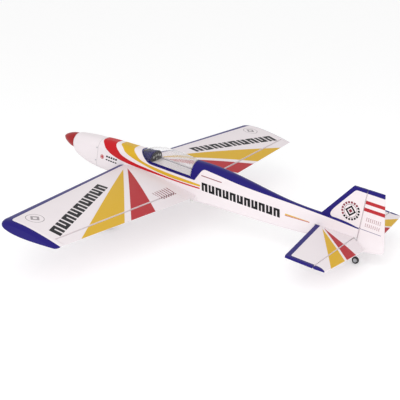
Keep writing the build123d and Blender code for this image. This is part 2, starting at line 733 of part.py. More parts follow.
def build_main_gear():
    """Wire legs held in the wing's blocks by straps, with a wheel on each."""
    with BuildPart() as gear_legs:
        for side in (-1, 1):
            x, y, z = MAIN_WHEEL
            path = [
                (side * 92, -85, -22.6), (side * 131, -85, -21.1),
                (side * 166, y, z), (side * (x + 13), y, z),
            ]
            for start, end in zip(path, path[1:]):
                rod(start, end, 2.0)
            for corner in path[1:-1]:
                with Locations(place(*corner)):
                    Sphere(2.0)
            rod((side * (x + 9.6), y, z), (side * (x + 14), y, z), 4.0)
    save(gear_legs, "gear_legs")
    with BuildPart() as gear_straps:
        for side in (-1, 1):
            for x in (side * 101, side * 125):
                block((x - 3.5, x + 3.5), (-95, -75), (-26.4, -25.2))
                for y in (-91, -79):
                    rod((x, y, -27.6), (x, y, -15), 1.2)
                    rod((x, y, -28), (x, y, -26.4), 2.4)
    save(gear_straps, "gear_straps")
    for side, name in ((-1, "left"), (1, "right")):
        centre = (side * MAIN_WHEEL[0], MAIN_WHEEL[1], MAIN_WHEEL[2])
        build_tyre(f"main_tyre_{name}", centre, MAIN_RADIUS, 17.05, 9.0)
        with BuildPart() as hub:
            with BuildSketch(upright(centre[0] - 9)):
                with Locations(centre[1:]):
                    Circle(17)
                    Circle(2.08, mode=Mode.SUBTRACT)
            extrude(amount=18)
            for face_x in (centre[0] - 9, centre[0] + 6):
                with BuildSketch(upright(face_x)) as dish:
                    with Locations(centre[1:]):
                        Circle(14)
                        Circle(5, mode=Mode.SUBTRACT)
                extrude(dish.sketch, amount=3, mode=Mode.SUBTRACT)
        save(hub, f"main_hub_{name}")


def build_cowl():
    """Moulded cowl with a front ring, open where the cylinder passes."""
    with BuildPart() as inside:
        hull_loft(COWL_SECTIONS, 2.0)
        block((-60, 60), (FIREWALL - 1, COWL_FRONT - 2.5), (-60, 100), mode=Mode.INTERSECT)
    with BuildPart() as engine_cowl:
        hull_loft(COWL_SECTIONS)
        add(inside.part, mode=Mode.SUBTRACT)
        block((-60, 60), (FIREWALL + 0.4, COWL_FRONT + 1), (-60, 100), mode=Mode.INTERSECT)
        rod((0, 200, THRUST_Z), (0, 240, THRUST_Z), 24, mode=Mode.SUBTRACT)
        y = CYLINDER_Y
        rod((15, y, THRUST_Z), (80, y, THRUST_Z), CYLINDER_RADIUS + 2, mode=Mode.SUBTRACT)
        x, y, z = MUFFLER
        rod((x, y, z), (x, y, z - 50), 10, mode=Mode.SUBTRACT)
        block((-14, 14), (FIREWALL, FIREWALL + 12), (-50, -28), mode=Mode.SUBTRACT)
        for side, z in COWL_SCREWS:
            rod((side * 30, SCREW_Y, z), (side * 50, SCREW_Y, z), 1.5, mode=Mode.SUBTRACT)
    save(engine_cowl, "engine_cowl")
    with BuildPart() as machine_screws:
        for side, z in COWL_SCREWS:
            rod((side * 33, SCREW_Y, z), (side * 43.3, SCREW_Y, z), 1.3)
            rod((side * 43.3, SCREW_Y, z), (side * 44.7, SCREW_Y, z), 2.8)
        for y in (158, 176):
            for z in (10, 52):
                rod((-9, y, z), (5.5, y, z), 1.5)
                rod((5.5, y, z), (8.5, y, z), 2.8)
    save(machine_screws, "machine_screws")


def build_engine():
    """Side-mounted two-stroke engine on a beam mount."""
    y = CYLINDER_Y
    with BuildPart() as engine_mount:
        block((-26, 26), (FIREWALL, FIREWALL + 4.5), (5, 57))
        block((-8, -0.6), (FIREWALL + 4, 184), (48, 57))
        block((-8, -0.6), (FIREWALL + 4, 184), (5, 14))
        rod(*THROTTLE_ROD, ROD_RADIUS + 1.2, mode=Mode.SUBTRACT)
        for bolt_y in (158, 176):
            for z in (10, 52):
                rod((-12, bolt_y, z), (5, bolt_y, z), 1.55, mode=Mode.SUBTRACT)
    save(engine_mount, "engine_mount")
    with BuildPart() as crankcase:
        rod((0, 146, THRUST_Z), (0, 196, THRUST_Z), 17)
        rod((0, 196, THRUST_Z), (0, 221, THRUST_Z), 12)
        rod((0, y, THRUST_Z), (29.8, y, THRUST_Z), 15)
        block((-0.4, 3.4), (152, 182), (6, 56))
        rod((0, 150, THRUST_Z), (0, 192.5, THRUST_Z), 14.6, mode=Mode.SUBTRACT)
        rod((0, 190, THRUST_Z), (0, 222, THRUST_Z), 6.0, mode=Mode.SUBTRACT)
        rod((0, y, THRUST_Z), (40, y, THRUST_Z), 11.15, mode=Mode.SUBTRACT)
        rod((0, 203, THRUST_Z), (0, 203, 60), 4.0, mode=Mode.SUBTRACT)
        for bolt_y in (158, 176):
            for z in (10, 52):
                rod((-2, bolt_y, z), (5, bolt_y, z), 1.55, mode=Mode.SUBTRACT)
    save(crankcase, "crankcase")
    with BuildPart() as cylinder_fins:
        rod((30, y, THRUST_Z), (58, y, THRUST_Z), 15)
        for x in (33, 37, 41, 45, 49, 53):
            rod((x, y, THRUST_Z), (x + 1.8, y, THRUST_Z), CYLINDER_RADIUS)
        rod((29, y, THRUST_Z), (56, y, THRUST_Z), 11.15, mode=Mode.SUBTRACT)
        rod((50, y, THRUST_Z), (60, y, THRUST_Z), 3.0, mode=Mode.SUBTRACT)
    save(cylinder_fins, "cylinder_fins")
    with BuildPart() as glow_plug:
        rod((56.1, y, THRUST_Z), (58, y, THRUST_Z), 2.95)
        rod((58, y, THRUST_Z), (61, y, THRUST_Z), 4.5)
        rod((61, y, THRUST_Z), (65, y, THRUST_Z), 2.0)
    save(glow_plug, "glow_plug")
    with BuildPart() as piston:
        rod((25, y, THRUST_Z), (43, y, THRUST_Z), 11.1)
        rod((20, y, THRUST_Z), (40, y, THRUST_Z), 9.3, mode=Mode.SUBTRACT)
        rod((32, y, THRUST_Z - 10.4), (32, y, THRUST_Z + 10.4), 2.4)
    save(piston, "piston")
    with BuildPart() as carburettor:
        rod((0, 203, THRUST_Z + 12.3), (0, 203, 61), 7)
        rod((0, 203, 40), (0, 203, 62), 4, mode=Mode.SUBTRACT)
        rod((-9, 203, 54), (10, 203, 54), 6)
        rod((-12, 203, 54), (8, 203, 54), 4.55, mode=Mode.SUBTRACT)
    save(carburettor, "carburettor")
    with BuildPart() as throttle_barrel:
        rod((-11, 203, 54), (7.8, 203, 54), 4.5)
        rod((0, 203, 45), (0, 203, 63), 3.4, mode=Mode.SUBTRACT)
        block((-12.6, -11), (200.5, 205.5), (42, 57))
    save(throttle_barrel, "throttle_barrel")
    x, outlet_y, z = MUFFLER
    with BuildPart() as muffler:
        rod((x, 137, z), (x, 174, z), 11.5)
        rod((x, 139, z), (x, 172, z), 10, mode=Mode.SUBTRACT)
        rod((32.5, y, 14), (27, 166, 1), 5)
        rod((x, outlet_y, z - 10.8), (x, outlet_y, OUTLET_Z + OUTLET_LENGTH), 6.6)
        rod((x, outlet_y, OUTLET_Z + OUTLET_LENGTH), (x, outlet_y, OUTLET_Z), 5)
        rod((x, outlet_y, z), (x, outlet_y, OUTLET_Z - 1), 3.5, mode=Mode.SUBTRACT)
        rod((24, y, THRUST_Z), (60, y, THRUST_Z), CYLINDER_RADIUS + 0.2, mode=Mode.SUBTRACT)
    save(muffler, "muffler")


def build_propeller_drive():
    """Crankshaft with its driver, and the spinner held by a nut."""
    z = THRUST_Z
    with BuildPart() as crankshaft:
        rod((0, 166, z + CRANK_RADIUS), (0, 184, z + CRANK_RADIUS), 2.6)
        rod((0, 183, z), (0, 191.5, z), 14)
        rod((0, 190, z), (0, 227, z), 5.94)
        rod((0, 221.6, z), (0, 227, z), 13)
        rod((0, 226, z), (0, 256, z), 4)
    save(crankshaft, "crankshaft")
    with BuildPart() as spinner_backplate:
        rod((0, 227.2, z), (0, SPINNER_BASE, z), SPINNER_RADIUS)
        rod((0, 225, z), (0, 235, z), 4.05, mode=Mode.SUBTRACT)
    save(spinner_backplate, "spinner_backplate")
    with BuildPart() as spinner_nut:
        with BuildSketch(across(SPINNER_BASE + 9, z=z)):
            RegularPolygon(8, 6)
            Circle(4.02, mode=Mode.SUBTRACT)
        extrude(amount=8.9)
        rod((0, SPINNER_BASE + 12, z), (0, SPINNER_BASE + 9.1, z), 6.5)
        rod((0, SPINNER_BASE + 8, z), (0, SPINNER_BASE + 13, z), 4.02, mode=Mode.SUBTRACT)
    save(spinner_nut, "spinner_nut")
    with BuildPart() as spinner_cone:
        for inset, mode in ((0.0, Mode.ADD), (1.8, Mode.SUBTRACT)):
            base, radius = SPINNER_BASE + 0.05, SPINNER_RADIUS - inset
            tip = SPINNER_TIP - 1.6 * inset
            with BuildSketch(upright(0, z=z)) as profile:
                with BuildLine():
                    Polyline((tip, 0), (base, 0), (base, radius))
                    Spline(
                        (base, radius), (base + 17, radius * 0.90), (base + 36, radius * 0.67),
                        (base + 52, radius * 0.37), (tip, 0),
                    )
                make_face()
            revolve(profile.sketch, axis=Axis(place(0, 0, z), FORWARD), mode=mode)
    save(spinner_cone, "spinner_cone")


def build_cockpit():
    """Clear canopy over a plain deck, with a hooded instrument panel."""
    with BuildPart() as canopy:
        loft([canopy_section(station) for station in CANOPY_SECTIONS])
        loft([canopy_section(station, 1.2, 1.0) for station in CANOPY_SECTIONS], mode=Mode.SUBTRACT)
        behind_rim(0.1)
    save(canopy, "canopy")
    with BuildPart() as cockpit_deck:
        add(HULL_CLEAR)
        block((-60, 60), (COCKPIT_REAR + 2, DECK_FRONT), (62.2, 65), mode=Mode.INTERSECT)
    save(cockpit_deck, "cockpit_deck")
    with BuildPart() as glare_shield:
        loft([canopy_section(station, 0, 0.7) for station in HOOD_SECTIONS])
        loft([canopy_section(station, 1.6, 1.5) for station in HOOD_SECTIONS], mode=Mode.SUBTRACT)
        behind_rim(1.4)
    save(glare_shield, "glare_shield")
    with BuildPart() as instrument_panel:
        extrude(canopy_section((PANEL_Y, 37.0, 101.5, 30.0), 0, 0.7), amount=3)
        for x, z, radius in DIALS:
            with BuildSketch(across(PANEL_Y - 2.4, x=x, z=z)) as dial:
                Circle(radius)
                Circle(radius - 1.2, mode=Mode.SUBTRACT)
            extrude(dial.sketch, amount=1.4)
    save(instrument_panel, "instrument_panel")


def build_equipment():
    """Fuel tank, radio gear and servos inside the fuselage."""
    with BuildPart() as fuel_tank:
        block((-26, 26), (6, 76), (-4, 47))
        fillet(fuel_tank.edges(), 6)
        rod((0, 74, 30), (0, 82, 30), 8)
    save(fuel_tank, "fuel_tank")
    with BuildPart() as radio_gear:
        block((-30, 30), (-52, -10), (29, 43.5))
        block((-22, 14), (-264, -204), (36, 52))
    save(radio_gear, "radio_gear")
    places = [(x, y, 30.0) for x, y in SERVO_PLACES] + [(0.0, AILERON_SERVO_Y, -5.5)]
    with BuildPart() as servo_cases:
        for x, y, z in places:
            block((x - 10, x + 10), (y - 20, y + 20), (z, z + 25.5))
            rod((x, y + 10, z + 25), (x, y + 10, z + 26.3), 5)
            if z > 0:
                block((x - 9, x + 9), (y - 27, y + 27), (46.7, 49))
    save(servo_cases, "servo_cases")


def build_servo_arm(label, boss, reach):
    """Plastic arm on a servo's output, with its rod hole at the given reach."""
    x, y, z = boss
    with BuildPart() as servo_arm:
        with BuildSketch(flat(z)):
            with Locations((x, y)):
                Circle(5)
            for tip in reach:
                with BuildLine():
                    width = 4 if tip > 0 else -4
                    Polyline((x, y + 4), (x + tip, y + 2.4), (x + tip, y - 2.4), (x, y - 4), close=True)
                make_face()
                with Locations((x + tip - width * 0.6, y)):
                    Circle(0.8, mode=Mode.SUBTRACT)
        extrude(amount=1.5)
    save(servo_arm, label)


def build_control_rod(label, ends, plate):
    """Straight wire with a fork that straddles its horn without touching it."""
    start, end = ends
    x, y, z = end
    with BuildPart() as control_rod:
        rod(start, end, ROD_RADIUS)
        if plate == "upright":
            block((x - 3.2, x + 3.2), (y - 0.5, y + 5), (z - 2.5, z + 2.5))
            for low, high in ((x - 3.2, x - 1.8), (x + 1.8, x + 3.2)):
                block((low, high), (y - 10, y), (z - 2.5, z + 2.5))
        if plate == "level":
            block((x - 2.5, x + 2.5), (y - 0.5, y + 5), (z - 3.2, z + 3.2))
            for low, high in ((z - 3.2, z - 1.8), (z + 1.8, z + 3.2)):
                block((x - 2.5, x + 2.5), (y - 10, y), (low, high))
    save(control_rod, label)


def build_controls():
    boss_y = 10.0
    for label, spot, reach in (
        ("elevator_arm", SERVO_PLACES[0], (13.8,)),
        ("rudder_arm", SERVO_PLACES[1], (13.8,)),
        ("throttle_arm", SERVO_PLACES[2], (13.8,)),
    ):
        build_servo_arm(label, (spot[0], spot[1] + boss_y, SERVO_ARM_Z), reach)
    boss = (0, AILERON_SERVO_Y + boss_y, 21.3)
    build_servo_arm("aileron_arm", boss, (13.8, -13.8))
    build_control_rod("elevator_rod", ELEVATOR_ROD, "upright")
    build_control_rod("rudder_rod", RUDDER_ROD, "level")
    build_control_rod("throttle_rod", THROTTLE_ROD, "open")


build_fuselage()
build_decks()
build_formers()
build_belly_pan()
build_wing_skin(-1, "wing_skin_left")
build_wing_skin(1, "wing_skin_right")
build_wing_frame()
build_wing_tips()
build_wing_bolts()
build_aileron(-1, "aileron_left")
build_aileron(1, "aileron_right")
build_torque_rod(-1, "torque_rod_left")
build_torque_rod(1, "torque_rod_right")
build_hinges()
build_stabilizer()
build_fin()
build_elevators()
build_rudder()
build_tail_gear()
build_main_gear()
build_cowl()
build_engine()
build_propeller_drive()
build_cockpit()
build_equipment()
build_controls()
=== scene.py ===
import json
import math
import bmesh
import bpy
from mathutils import Matrix, Vector


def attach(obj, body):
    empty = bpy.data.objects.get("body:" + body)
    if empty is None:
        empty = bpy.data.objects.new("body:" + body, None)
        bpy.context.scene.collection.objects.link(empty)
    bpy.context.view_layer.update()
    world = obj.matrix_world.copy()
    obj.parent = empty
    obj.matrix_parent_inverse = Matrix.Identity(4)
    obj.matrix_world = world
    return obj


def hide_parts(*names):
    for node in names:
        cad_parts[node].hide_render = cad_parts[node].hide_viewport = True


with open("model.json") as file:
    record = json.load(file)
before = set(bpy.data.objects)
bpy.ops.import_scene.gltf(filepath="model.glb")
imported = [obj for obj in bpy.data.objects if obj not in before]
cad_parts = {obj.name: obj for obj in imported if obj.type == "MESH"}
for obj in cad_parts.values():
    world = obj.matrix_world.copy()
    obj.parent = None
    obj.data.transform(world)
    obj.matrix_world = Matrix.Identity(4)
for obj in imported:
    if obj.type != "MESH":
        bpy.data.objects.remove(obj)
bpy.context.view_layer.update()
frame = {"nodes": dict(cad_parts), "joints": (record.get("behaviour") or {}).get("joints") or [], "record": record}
nodes = frame["nodes"]

# ---------------------------------------------------------------------------------------------
# The airframe's own datum: x to the right wing, y to the nose, z up, in millimetres. It comes
# from the propeller shaft, whose axis is level in the datum.
MM = 0.001
SHAFT_Y, SHAFT_Z = 200.0, 31.0
shaft = next(joint for joint in frame["joints"] if joint["name"] == "propeller_spin")
FORWARD = Vector(shaft["axis"]).normalized()
RIGHT = Vector((1, 0, 0))
UP = RIGHT.cross(FORWARD)
ORIGIN = Vector(shaft["pos_m"]) - FORWARD * SHAFT_Y * MM - UP * SHAFT_Z * MM
PITCH = math.atan2(FORWARD.z, FORWARD.y)


def at(x, y, z):
    """Place in the frame of a point of the datum."""
    return ORIGIN + (RIGHT * x + FORWARD * y + UP * z) * MM


# Main sizes of the airframe that the decoration follows.
HALF_SPAN = 780.0
ROOT_CHORD, TIP_CHORD = 368.0, 242.0
TIP_SWEEP = 92.0
HINGE_SHARE = 0.833
DIHEDRAL = math.radians(1.8)
SILL_Z = 66.0
RIM_TOP, RIM_FOOT = (-94.0, 98.0), (-140.0, 66.0)
RIM_SLOPE = (RIM_TOP[0] - RIM_FOOT[0]) / (RIM_TOP[1] - RIM_FOOT[1])
# Canopy arches: y, half width, top and crown radius.
CANOPY_STATIONS = (
    (-84.0, 43.5, 91.0, 34.0),
    (-104.0, 43.4, 101.0, 36.0),
    (-132.0, 42.7, 114.5, 37.0),
    (-185.0, 41.2, 127.0, 38.0),
    (-262.0, 39.9, 128.8, 37.5),
    (-330.0, 38.8, 124.3, 36.8),
)
CANOPY_WALL = 1.0
STAB_Z = 50.0
STAB_HALF = 327.0
STAB_SWEEP = 43.0
STAB_LEAD_Y = -840.0
TAIL_HINGE_Y = -984.0
RUDDER_AXIS_Y = -995.0

WHITE = (0.80, 0.735, 0.755)
BLUE = (0.016, 0.010, 0.155)
YELLOW = (0.66, 0.40, 0.025)
RED = (0.53, 0.012, 0.018)
WING_RED = (0.44, 0.028, 0.036)
INK = (0.012, 0.012, 0.014)
GREY = (0.33, 0.30, 0.31)
FAINT = (0.42, 0.25, 0.27)
MAROON = (0.22, 0.03, 0.05)
CREAM = (0.90, 0.84, 0.84)


class Field:
    """A number that varies over a surface: a socket in a material's node tree."""

    def __init__(self, tree, socket):
        self.tree = tree
        self.socket = socket

    def apply(self, operation, *others):
        node = self.tree.nodes.new("ShaderNodeMath")
        node.operation = operation
        for slot, value in zip(node.inputs, (self, *others)):
            if isinstance(value, Field):
                self.tree.links.new(value.socket, slot)
            else:
                slot.default_value = value
        return Field(self.tree, node.outputs[0])

    def __add__(self, other):
        return self.apply("ADD", other)

    def __sub__(self, other):
        return self.apply("SUBTRACT", other)

    def __mul__(self, other):
        return self.apply("MULTIPLY", other)

    def __truediv__(self, other):
        return self.apply("DIVIDE", other)

    def __gt__(self, other):
        return self.apply("GREATER_THAN", other)

    def __lt__(self, other):
        return self.apply("LESS_THAN", other)

    def __and__(self, other):
        return self.apply("MINIMUM", other)

    def __or__(self, other):
        return self.apply("MAXIMUM", other)

    def __invert__(self):
        return self.apply("MULTIPLY_ADD", -1.0, 1.0)

    def magnitude(self):
        return self.apply("ABSOLUTE")

    def rounded_min(self, other, radius):
        return self.apply("SMOOTH_MIN", other, radius)

    def repeat(self, pitch):
        """Distance into the current cell of a row of equal cells."""
        return self.apply("FLOORED_MODULO", pitch)

    def between(self, low, high):
        return (self > low) & (self < high)


class Paint:
    """One procedural material. Its x, y and z are fields in millimetres of the datum."""

    def __init__(self, name, colour):
        self.material = bpy.data.materials.new(name)
        self.material.use_nodes = True
        self.tree = self.material.node_tree
        self.shader = self.tree.nodes["Principled BSDF"]
        self.colour = colour
        coordinates = self.tree.nodes.new("ShaderNodeTexCoord")
        mapping = self.tree.nodes.new("ShaderNodeMapping")
        mapping.vector_type = "TEXTURE"
        mapping.inputs["Location"].default_value = ORIGIN
        mapping.inputs["Rotation"].default_value = (PITCH, 0, 0)
        mapping.inputs["Scale"].default_value = (MM, MM, MM)
        self.tree.links.new(coordinates.outputs["Object"], mapping.inputs["Vector"])
        self.place = mapping.outputs["Vector"]
        split = self.tree.nodes.new("ShaderNodeSeparateXYZ")
        self.tree.links.new(self.place, split.inputs[0])
        self.x, self.y, self.z = (Field(self.tree, out) for out in split.outputs)

    def curve(self, along, points):
        """Smooth line through points of (along, value), level beyond its ends."""
        low, high = points[0][0], points[-1][0]
        values = [value for _, value in points]
        floor, reach = min(values), max(values) - min(values)
        node = self.tree.nodes.new("ShaderNodeFloatCurve")
        line = node.mapping.curves[0]
        node.mapping.extend = "HORIZONTAL"
        while len(line.points) < len(points):
            line.points.new(0.5, 0.5)
        for spot, (place, value) in zip(line.points, points):
            spot.location = ((place - low) / (high - low), (value - floor) / reach)
            spot.handle_type = "AUTO_CLAMPED"
        node.mapping.update()
        share = (along - low) / (high - low)
        self.tree.links.new(share.socket, node.inputs["Value"])
        return Field(self.tree, node.outputs[0]) * reach + floor

    def noise(self, size, detail=4.0, stretch=(1, 1, 1)):
        """Cloudy field from 0 to 1 with patches of about the given size."""
        scale = self.tree.nodes.new("ShaderNodeVectorMath")
        scale.operation = "MULTIPLY"
        scale.inputs[1].default_value = [1 / (size * part) for part in stretch]
        self.tree.links.new(self.place, scale.inputs[0])
        node = self.tree.nodes.new("ShaderNodeTexNoise")
        node.inputs["Scale"].default_value = 1.0
        node.inputs["Detail"].default_value = detail
        self.tree.links.new(scale.outputs[0], node.inputs["Vector"])
        return Field(self.tree, node.outputs[0])

    def layer(self, mask, colour):
        """Lay a colour over the paint where the mask is 1."""
        mix = self.tree.nodes.new("ShaderNodeMix")
        mix.data_type = "RGBA"
        self.tree.links.new(mask.socket, mix.inputs["Factor"])
        for slot, value in ((mix.inputs[6], self.colour), (mix.inputs[7], colour)):
            if isinstance(value, tuple):
                slot.default_value = (*value, 1.0)
            else:
                self.tree.links.new(value, slot)
        self.colour = mix.outputs[2]

    def shade(self, field, darkest):
        """Darken the paint a little where the field is low."""
        mix = self.tree.nodes.new("ShaderNodeMix")
        mix.data_type = "RGBA"
        mix.blend_type = "MULTIPLY"
        mix.inputs["Factor"].default_value = 1.0
        if isinstance(self.colour, tuple):
            mix.inputs[6].default_value = (*self.colour, 1.0)
        else:
            self.tree.links.new(self.colour, mix.inputs[6])
        level = field * (1 - darkest) + darkest
        self.tree.links.new(level.socket, mix.inputs[7])
        self.colour = mix.outputs[2]

    def bump(self, field, height):
        """Raise the surface by up to height millimetres where the field is high."""
        node = self.tree.nodes.new("ShaderNodeBump")
        node.inputs["Strength"].default_value = 1.0
        node.inputs["Distance"].default_value = height * MM
        self.tree.links.new(field.socket, node.inputs["Height"])
        self.tree.links.new(node.outputs[0], self.shader.inputs["Normal"])

    def finish(self, roughness, spread=0.1, **constants):
        """Join the colour and a cloudy roughness to the shader, and set its constants."""
        rough = self.noise(9.0, 3.0) * spread + (roughness - spread / 2)
        self.tree.links.new(rough.socket, self.shader.inputs["Roughness"])
        if isinstance(self.colour, tuple):
            self.shader.inputs["Base Color"].default_value = (*self.colour, 1.0)
        else:
            self.tree.links.new(self.colour, self.shader.inputs["Base Color"])
        for name, value in constants.items():
            self.shader.inputs[name.replace("_", " ")].default_value = value
        return self.material


def distance(u, v):
    """Distance from the place where both fields are zero."""
    return (u * u + v * v).apply("SQRT")


# ---------------------------------------------------------------------------------------------
# Film covering: gloss iron-on film over balsa sheeting, with trim colours.
def film_finish(paint):
    """Slight cloudiness, grain of the sheeting showing through, and small wrinkles."""
    paint.shade(paint.noise(70.0, 3.0), 0.955)
    grain = paint.noise(3.0, 3.0, (9.0, 9.0, 1.0)) * 0.2 + paint.noise(34.0, 2.0)
    paint.bump(grain, 0.05)
    return paint.finish(0.38, 0.12, Specular_IOR_Level=0.13)


def ring_mark(paint, u, v, radius, dark, middle):
    """Generic roundel: a ring of segments about a plain diamond."""
    reach = distance(u, v)
    turn = v.apply("ARCTAN2", u)
    ring = reach.between(radius * 0.78, radius)
    cells = turn.repeat(math.pi / 9) < math.pi / 13
    paint.layer(ring & cells, dark)
    paint.layer(ring & cells & (v + u > 0.0), middle)
    paint.layer(reach.between(radius * 0.66, radius * 0.70), dark)
    corner = u.magnitude() + v.magnitude()
    paint.layer(corner < radius * 0.60, dark)
    paint.layer(corner < radius * 0.36, WHITE)
    paint.layer(corner < radius * 0.22, middle)


def bar_row(paint, along, height, start, end, cells, half, area=None):
    """Generic row of slanted blocks with a fine inline, from start to end."""
    pitch = (end - start) / cells
    slanted = along - start + height * 0.2 + half * 0.2
    inside = slanted.repeat(pitch)
    block = (inside < pitch * 0.84) & slanted.between(0.0, end - start)
    turn = (slanted.repeat(pitch * 2.0) > pitch) * 2.0 - 1.0
    notch = inside.between(pitch * 0.32, pitch * 0.46) & (height * turn > half * -0.45)
    band = block & ~notch & (height.magnitude() < half)
    if area is not None:
        band = band & area
    paint.layer(band, INK)


# Fuselage scheme, as y and z: foot of the blue sill, line behind the cockpit, rear end of the
# bands, row of blocks, lines ahead of the tail and badge on the nose.
SILL_FOOT_Z = 60.8
REAR_LINE_Y, REAR_SLOPE = -317.5, -0.52
BAND_END_Y = -376.0
BLOCKS_Y, BLOCKS_Z = (-386.0, -711.0), 47.5
TAIL_LINES_Y, TAIL_LINES_LENGTH = -723.0, 95.0
NOSE_BADGE = (71.0, 20.5)


def fuselage_blue(paint):
    """Blue of the cockpit rim, the sill and the top of the turtledeck."""
    y, z = paint.y, paint.z
    rim = (z - RIM_TOP[1]) * RIM_SLOPE + (RIM_TOP[0] + 4.0)
    rear = z * REAR_SLOPE + REAR_LINE_Y
    edge = paint.curve(y, [
        (-993, 88.5), (-900, 93.3), (-770, 94.5), (-573, 99.3), (-420, 109.5), (-331, 114),
    ])
    white_side = (rear - y).rounded_min(edge - z, 16.0)
    foot = z - SILL_FOOT_Z
    corner = foot.rounded_min((rim - y) * 0.57, 14.0).rounded_min(white_side * -1.0, 6.0)
    return corner > 0.0


def swoosh(paint, lower, upper):
    """Band between two curved edges that sweeps down from the nose top to the side."""
    y, z = paint.y, paint.z
    return (z > paint.curve(y, lower)) & (z < paint.curve(y, upper)) & (y > BAND_END_Y)


def fuselage_film():
    paint = Paint("fuselage_film", WHITE)
    x, y, z = paint.x, paint.y, paint.z
    red = swoosh(
        paint,
        [
            (-376, 34), (-311, 31.5), (-252, 30.5), (-110, 30), (-40, 32),
            (17, 40.5), (50, 54), (72, 71.5), (86, 83), (89, 95),
        ],
        [
            (-376, 39.5), (-310, 37), (-250, 36.5), (-190, 38), (-129, 40.5), (-87, 43),
            (-32, 52), (2, 69.4), (18, 81), (24, 88), (26, 104),
        ],
    )
    paint.layer(red, RED)
    yellow = swoosh(
        paint,
        [
            (-376, 43.5), (-310, 40.5), (-250, 39), (-190, 41.5), (-125, 49.5),
            (-38, 69.4), (-12, 83.5), (5, 90), (7, 104),
        ],
        [
            (-376, 51), (-308, 51.5), (-249, 51.8), (-188, 54), (-124, 60),
            (-83, 77.4), (-61, 92), (-56, 110),
        ],
    )
    paint.layer(yellow & (y < 6.0), YELLOW)
    paint.layer(fuselage_blue(paint), BLUE)
    bar_row(paint, y * -1.0, z - BLOCKS_Z, -BLOCKS_Y[0], -BLOCKS_Y[1], 11, 15.5)
    tail_y = y * -1.0 + TAIL_LINES_Y
    lift = tail_y * 0.053
    tail_line = tail_y.between(0.0, TAIL_LINES_LENGTH)
    paint.layer(tail_line & (z - lift).between(46.6, 49.0), WING_RED)
    taper = tail_y * -0.045 + 54.8
    paint.layer(tail_line & (z - lift > 49.6) & (z - lift < taper), YELLOW)
    paint.layer(y.between(-460.0, -375.0) & z.between(86.4, 89.6), MAROON)
    emblem = distance(y - NOSE_BADGE[0], z - NOSE_BADGE[1])
    paint.layer(emblem < 8.8, WING_RED)
    paint.layer(emblem.between(5.2, 6.4), WHITE)
    for low, half in ((28.5, 3.6), (15.2, 2.6)):
        row = (z - low).magnitude() < half
        dash = (y + (z - low) * 0.3).repeat(11.0) < 8.2
        paint.layer(row & dash & y.between(-1.0, 54.0), INK)
    return film_finish(paint)


# Seam at the rear of the cowl, with its shade painted as a grey strip along the cowl's rear edge.
SEAM_Y, SEAM_SHADE_GREY = 95.6, (0.52, 0.49, 0.50)


def cowl_paint():
    """Painted moulding: smoother than film, with a faint orange-peel."""
    paint = Paint("cowl_paint", WHITE)
    paint.shade(paint.noise(60.0, 3.0), 0.96)
    # Painted shade: the seam's shadow, laid as grey along the cowl's rear edge.
    paint.layer(paint.y < SEAM_Y, SEAM_SHADE_GREY)
    paint.bump(paint.noise(1.6, 2.0) * 0.3 + paint.noise(30.0, 2.0), 0.03)
    return paint.finish(0.3, 0.08, Specular_IOR_Level=0.25)


# ---------------------------------------------------------------------------------------------
# Wing: fan of two stripes from near the root, leading edge and tips in blue.
def wedge(across, along, apex, outer, inner):
    """Mask between two lines from an apex to two points, in (across, along)."""
    sides = []
    for spot, sign in ((outer, -1.0), (inner, 1.0)):
        slope = (spot[0] - apex[0]) / (spot[1] - apex[1])
        edge = (along - apex[1]) * slope + apex[0]
        sides.append((across - edge) * sign > 0.0)
    return sides[0] & sides[1] & (along < apex[1])


# Marks on each wing panel, as distance from the middle and y. Each wedge has its apex and the
# rear ends of its outer and inner edges. The hinge line is a bare strip. The blue band along the
# leading edge widens outwards. The row of blocks has a place and the direction that it runs in.
YELLOW_WEDGE = ((99, -71), (685, -338), (464, -348))
RED_WEDGE = ((78, -76), (426, -348), (289, -355))
HINGE_LINE = (-0.6, 4.6)
LEAD_BAND, LEAD_FLARE, TIP_BAND = 28.0, 0.006, 783.5
ROW_PLACE, ROW_WAY = (284.0, -127.0), (0.951, -0.309)
ROUNDEL = (715.0, -167.0)
NOTES = (140.0, -293.0)


def wing_film():
    paint = Paint("wing_film", WHITE)
    span, y = paint.x.magnitude(), paint.y
    chord = span * ((TIP_CHORD - ROOT_CHORD) / HALF_SPAN) + ROOT_CHORD
    depth = span * (-TIP_SWEEP / HALF_SPAN) - y
    upper = paint.z - span * math.tan(DIHEDRAL) > 0.0
    hinge = (depth - chord * HINGE_SHARE).between(*HINGE_LINE)
    top = upper & ~hinge
    paint.layer(wedge(span, y, *YELLOW_WEDGE) & top, YELLOW)
    paint.layer(wedge(span, y, *RED_WEDGE) & top, WING_RED)
    lead = depth - span * LEAD_FLARE - LEAD_BAND
    paint.layer(lead.rounded_min(span * -1.0 + TIP_BAND, 26.0) < 0.0, BLUE)
    out, back = span - ROW_PLACE[0], y - ROW_PLACE[1]
    along = out * ROW_WAY[0] + back * ROW_WAY[1]
    rise = out * -ROW_WAY[1] + back * ROW_WAY[0]
    bar_row(paint, along, rise - 4.0, 22.0, 490.0, 9, 22.0, upper)
    mark_x, mark_y = span - ROUNDEL[0], y - ROUNDEL[1]
    reach = distance(mark_x, mark_y)
    paint.layer(upper & reach.between(29.0, 31.5), GREY)
    corner = mark_x.magnitude() + mark_y.magnitude()
    paint.layer(upper & corner.between(9.0, 20.0), GREY)
    note_x, note_y = span - NOTES[0], y - NOTES[1]
    lines = (note_x + note_y * 0.1).repeat(15.0) < 6.5
    notes = (note_x.magnitude() < 48.0) & (note_y.magnitude() < 26.0)
    ticks = note_y.repeat(8.0) < 6.0
    paint.layer(notes & lines & ticks & upper & (paint.x < 0.0), MAROON)
    return film_finish(paint)


# The same marks on the stabilizer.
STAB_YELLOW_WEDGE = ((29, -874), (294, -1032), (206, -1043))
STAB_RED_WEDGE = ((22, -877), (190, -1041), (128, -1047))
STAB_HINGE_LINE = (-2.6, 1.7)
STAB_BAND = 16.5


